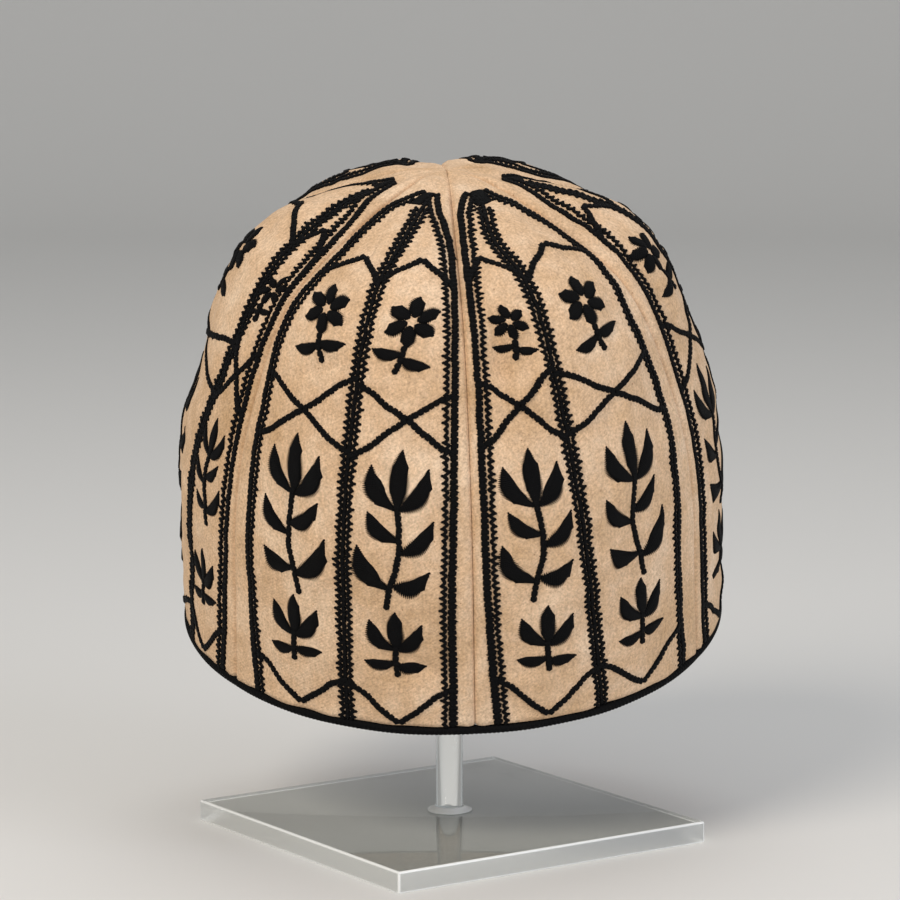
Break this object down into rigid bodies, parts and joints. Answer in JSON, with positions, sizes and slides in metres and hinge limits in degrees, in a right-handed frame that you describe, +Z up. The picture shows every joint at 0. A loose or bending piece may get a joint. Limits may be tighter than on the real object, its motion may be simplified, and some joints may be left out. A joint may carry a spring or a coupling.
{
  "type": "dervish cap on acrylic display stand",
  "caption": "Tall domed cloth cap sewn from gores, with black stitched borders and lattice, leaning on a clear rod stand with a square base.",
  "frame": {"origin": "centre of the base plate's underside", "axes": "+Z up along the rod, -Y towards the front, where the cap leans, +X to the viewer's right"},
  "size_m": [0.1923, 0.2088, 0.2374],
  "materials": {
    "cap_cloth": "tan brushed cotton, mottled",
    "black_thread": "black cotton stitching",
    "clear_acrylic": "clear polished acrylic"
  },
  "bodies": {
    "root": {"gore_1": "cap_cloth", "gore_2": "cap_cloth", "gore_3": "cap_cloth", "gore_4": "cap_cloth", "gore_5": "cap_cloth", "gore_6": "cap_cloth", "hem_cord": "black_thread", "crown_rest": "clear_acrylic", "stand_post": "clear_acrylic", "post_collar": "clear_acrylic", "stand_base": "clear_acrylic"}
  },
  "joints": []
}
